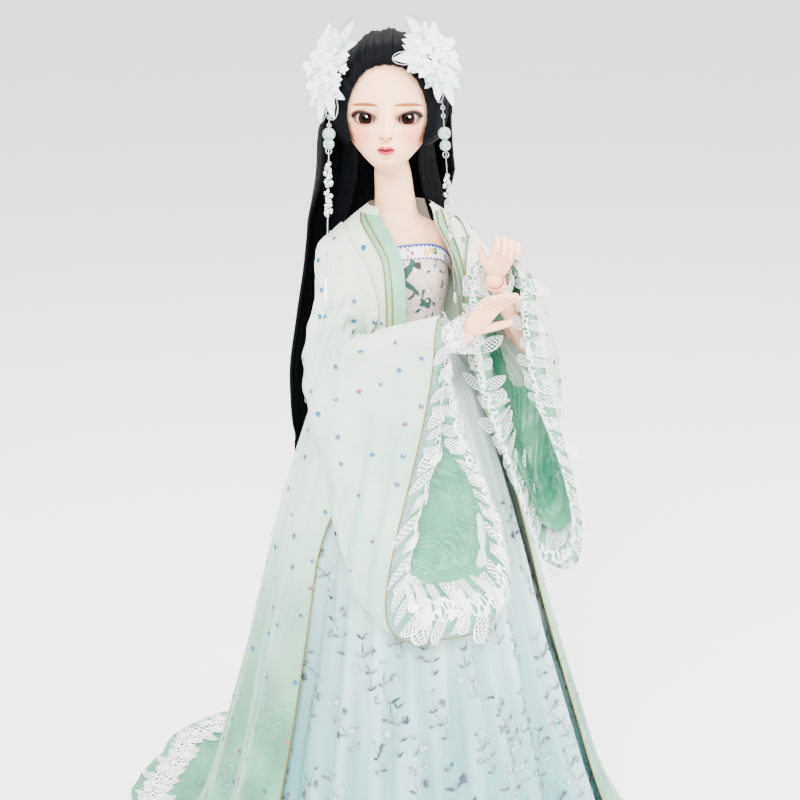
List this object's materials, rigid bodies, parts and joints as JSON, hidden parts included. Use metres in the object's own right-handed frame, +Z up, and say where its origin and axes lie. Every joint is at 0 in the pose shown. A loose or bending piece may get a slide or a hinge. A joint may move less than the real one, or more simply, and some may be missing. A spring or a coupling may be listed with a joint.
{
  "type": "ball jointed doll",
  "caption": "Strung resin doll with ball joints at neck, waist, shoulders, elbows, wrists, hips, knees and ankles, in a layered gown with wide sleeves and a train.",
  "frame": {"origin": "on the floor under the middle of the gown with its train", "axes": "+Z up, the torso faces -Y, the doll's right hand side is -X"},
  "size_m": [0.3701, 0.4055, 0.6134],
  "materials": {
    "skin_resin": "sanded matt resin",
    "eye_glass": "polished",
    "black_hair": "silky fibre",
    "white_lace": "guipure lace",
    "mint_chiffon": "sheer with sequins",
    "green_satin": "embossed satin",
    "white_organza": "sheer with silver foil",
    "print_cloth": "crinkled print",
    "ribbon_trim": "woven ribbon",
    "elastic_white": "braided elastic",
    "steel_wire": "bright",
    "mint_glass": "translucent glass and crystal"
  },
  "bodies": {
    "hips_and_gown": {"hips": "skin_resin", "skirt": "white_organza", "underskirt": "green_satin", "robe": "mint_chiffon"},
    "chest": {"chest": "skin_resin", "bodice": "print_cloth", "bodice_trim": "ribbon_trim", "lapel_left": "green_satin", "lapel_right": "green_satin", "elastic_torso": "elastic_white", "elastic_shoulders": "elastic_white"},
    "neck_hook": {"neck_hook": "steel_wire"},
    "head": {"head": "skin_resin", "head_cap": "skin_resin", "eye_left": "eye_glass", "eye_right": "eye_glass", "wig_cap": "black_hair", "back_hair": "black_hair", "hair_ornament_left": "white_lace", "hair_ornament_right": "white_lace"},
    "pendant_right": {"pendant_right": "mint_glass"},
    "upper_arm_right": {"upper_arm_right": "skin_resin", "elastic_upper_arm_right": "elastic_white", "sleeve_right": "mint_chiffon"},
    "elbow_right": {"elbow_piece_right": "skin_resin"},
    "forearm_right": {"forearm_right": "skin_resin", "elastic_forearm_right": "elastic_white", "sleeve_lining_right": "green_satin", "cuff_lace_right": "white_lace"},
    "hand_right": {"hand_right": "skin_resin"},
    "thigh_right": {"thigh_right": "skin_resin", "elastic_thigh_right": "elastic_white"},
    "knee_right": {"knee_piece_right": "skin_resin"},
    "shin_right": {"shin_right": "skin_resin", "elastic_shin_right": "elastic_white"},
    "foot_right": {"foot_right": "skin_resin"},
    "pendant_left": {"pendant_left": "mint_glass"},
    "upper_arm_left": {"upper_arm_left": "skin_resin", "elastic_upper_arm_left": "elastic_white", "sleeve_left": "mint_chiffon"},
    "elbow_left": {"elbow_piece_left": "skin_resin"},
    "forearm_left": {"forearm_left": "skin_resin", "elastic_forearm_left": "elastic_white", "sleeve_lining_left": "green_satin", "cuff_lace_left": "white_lace"},
    "hand_left": {"hand_left": "skin_resin"},
    "thigh_left": {"thigh_left": "skin_resin", "elastic_thigh_left": "elastic_white"},
    "knee_left": {"knee_piece_left": "skin_resin"},
    "shin_left": {"shin_left": "skin_resin", "elastic_shin_left": "elastic_white"},
    "foot_left": {"foot_left": "skin_resin"}
  },
  "joints": [
    {"name": "torso_lean", "type": "hinge", "parent": "hips_and_gown", "child": "chest", "pos_m": [0.0061, -0.0366, 0.3838], "axis": [1, 0, 0], "range_deg": [-8, 12], "deforming": ["robe", "skirt", "underskirt", "back_hair"]},
    {"name": "head_turn", "type": "hinge", "parent": "chest", "child": "neck_hook", "pos_m": [0.0031, -0.0326, 0.5213], "axis": [0, 0, 1], "range_deg": [-20, 8], "deforming": ["back_hair"]},
    {"name": "head_nod", "type": "hinge", "parent": "neck_hook", "child": "head", "pos_m": [0.0031, -0.0326, 0.5213], "axis": [1, 0, 0], "range_deg": [-8, 2], "deforming": ["back_hair"]},
    {"name": "pendant_swing_right", "type": "hinge", "parent": "head", "child": "pendant_right", "pos_m": [-0.0461, -0.0458, 0.5528], "axis": [1, 0, 0], "range_deg": [-18, 0]},
    {"name": "shoulder_right", "type": "hinge", "parent": "chest", "child": "upper_arm_right", "pos_m": [-0.0369, -0.0366, 0.4533], "axis": [0, 1, 0], "range_deg": [-5, 25], "deforming": ["sleeve_right", "sleeve_lining_right", "robe", "back_hair"]},
    {"name": "elbow_upper_right", "type": "hinge", "parent": "upper_arm_right", "child": "elbow_right", "pos_m": [-0.05548, -0.07025, 0.3921], "axis": [-0.6019, -0.6084, 0.5173], "range_deg": [-12, 0], "deforming": ["sleeve_right", "sleeve_lining_right", "robe", "back_hair"]},
    {"name": "elbow_lower_right", "type": "hinge", "parent": "elbow_right", "child": "forearm_right", "pos_m": [-0.04832, -0.08295, 0.3855], "axis": [-0.6019, -0.6084, 0.5173], "range_deg": [-12, 0], "deforming": ["sleeve_right", "sleeve_lining_right", "robe", "back_hair"]},
    {"name": "wrist_right", "type": "hinge", "parent": "forearm_right", "child": "hand_right", "pos_m": [0.0181, -0.1246, 0.4138], "axis": [0.9135, 0.2072, -0.3502], "range_deg": [-20, 20]},
    {"name": "pendant_swing_left", "type": "hinge", "parent": "head", "child": "pendant_left", "pos_m": [0.0237, -0.0713, 0.559], "axis": [1, 0, 0], "range_deg": [-18, 0]},
    {"name": "shoulder_left", "type": "hinge", "parent": "chest", "child": "upper_arm_left", "pos_m": [0.0491, -0.0366, 0.4533], "axis": [0, -1, 0], "range_deg": [-5, 25], "deforming": ["sleeve_left", "sleeve_lining_left", "robe", "back_hair"]},
    {"name": "elbow_upper_left", "type": "hinge", "parent": "upper_arm_left", "child": "elbow_left", "pos_m": [0.08857, -0.06366, 0.39064], "axis": [-0.8193, 0.1085, -0.563], "range_deg": [-6, 6], "deforming": ["sleeve_left", "sleeve_lining_left", "robe", "back_hair"]},
    {"name": "elbow_lower_left", "type": "hinge", "parent": "elbow_left", "child": "forearm_left", "pos_m": [0.08763, -0.07954, 0.38896], "axis": [-0.8193, 0.1085, -0.563], "range_deg": [-6, 6], "deforming": ["sleeve_left", "sleeve_lining_left", "robe", "back_hair"]},
    {"name": "wrist_left", "type": "hinge", "parent": "forearm_left", "child": "hand_left", "pos_m": [0.0431, -0.1156, 0.4468], "axis": [-0.9246, 0.3008, 0.2337], "range_deg": [-20, 20]},
    {"name": "hip_right", "type": "hinge", "parent": "hips_and_gown", "child": "thigh_right", "pos_m": [-0.0159, -0.0386, 0.3118], "axis": [1, 0, 0], "range_deg": [-15, 10]},
    {"name": "knee_upper_right", "type": "hinge", "parent": "thigh_right", "child": "knee_right", "pos_m": [-0.01779, -0.04274, 0.1858], "axis": [1, 0, 0], "range_deg": [0, 20]},
    {"name": "knee_lower_right", "type": "hinge", "parent": "knee_right", "child": "shin_right", "pos_m": [-0.01801, -0.04246, 0.1658], "axis": [1, 0, 0], "range_deg": [0, 20]},
    {"name": "ankle_right", "type": "hinge", "parent": "shin_right", "child": "foot_right", "pos_m": [-0.0189, -0.0346, 0.0358], "axis": [1, 0, 0], "range_deg": [-15, 15]},
    {"name": "hip_left", "type": "hinge", "parent": "hips_and_gown", "child": "thigh_left", "pos_m": [0.0281, -0.0386, 0.3118], "axis": [1, 0, 0], "range_deg": [-15, 10]},
    {"name": "knee_upper_left", "type": "hinge", "parent": "thigh_left", "child": "knee_left", "pos_m": [0.02999, -0.04274, 0.1858], "axis": [1, 0, 0], "range_deg": [0, 20]},
    {"name": "knee_lower_left", "type": "hinge", "parent": "knee_left", "child": "shin_left", "pos_m": [0.03021, -0.04246, 0.1658], "axis": [1, 0, 0], "range_deg": [0, 20]},
    {"name": "ankle_left", "type": "hinge", "parent": "shin_left", "child": "foot_left", "pos_m": [0.0311, -0.0346, 0.0358], "axis": [1, 0, 0], "range_deg": [-15, 15]}
  ],
  "couplings": [
    {"joint": "elbow_upper_right", "follows": "elbow_lower_right", "ratio": 1},
    {"joint": "elbow_upper_left", "follows": "elbow_lower_left", "ratio": 1},
    {"joint": "knee_upper_right", "follows": "knee_lower_right", "ratio": 1},
    {"joint": "knee_upper_left", "follows": "knee_lower_left", "ratio": 1}
  ]
}
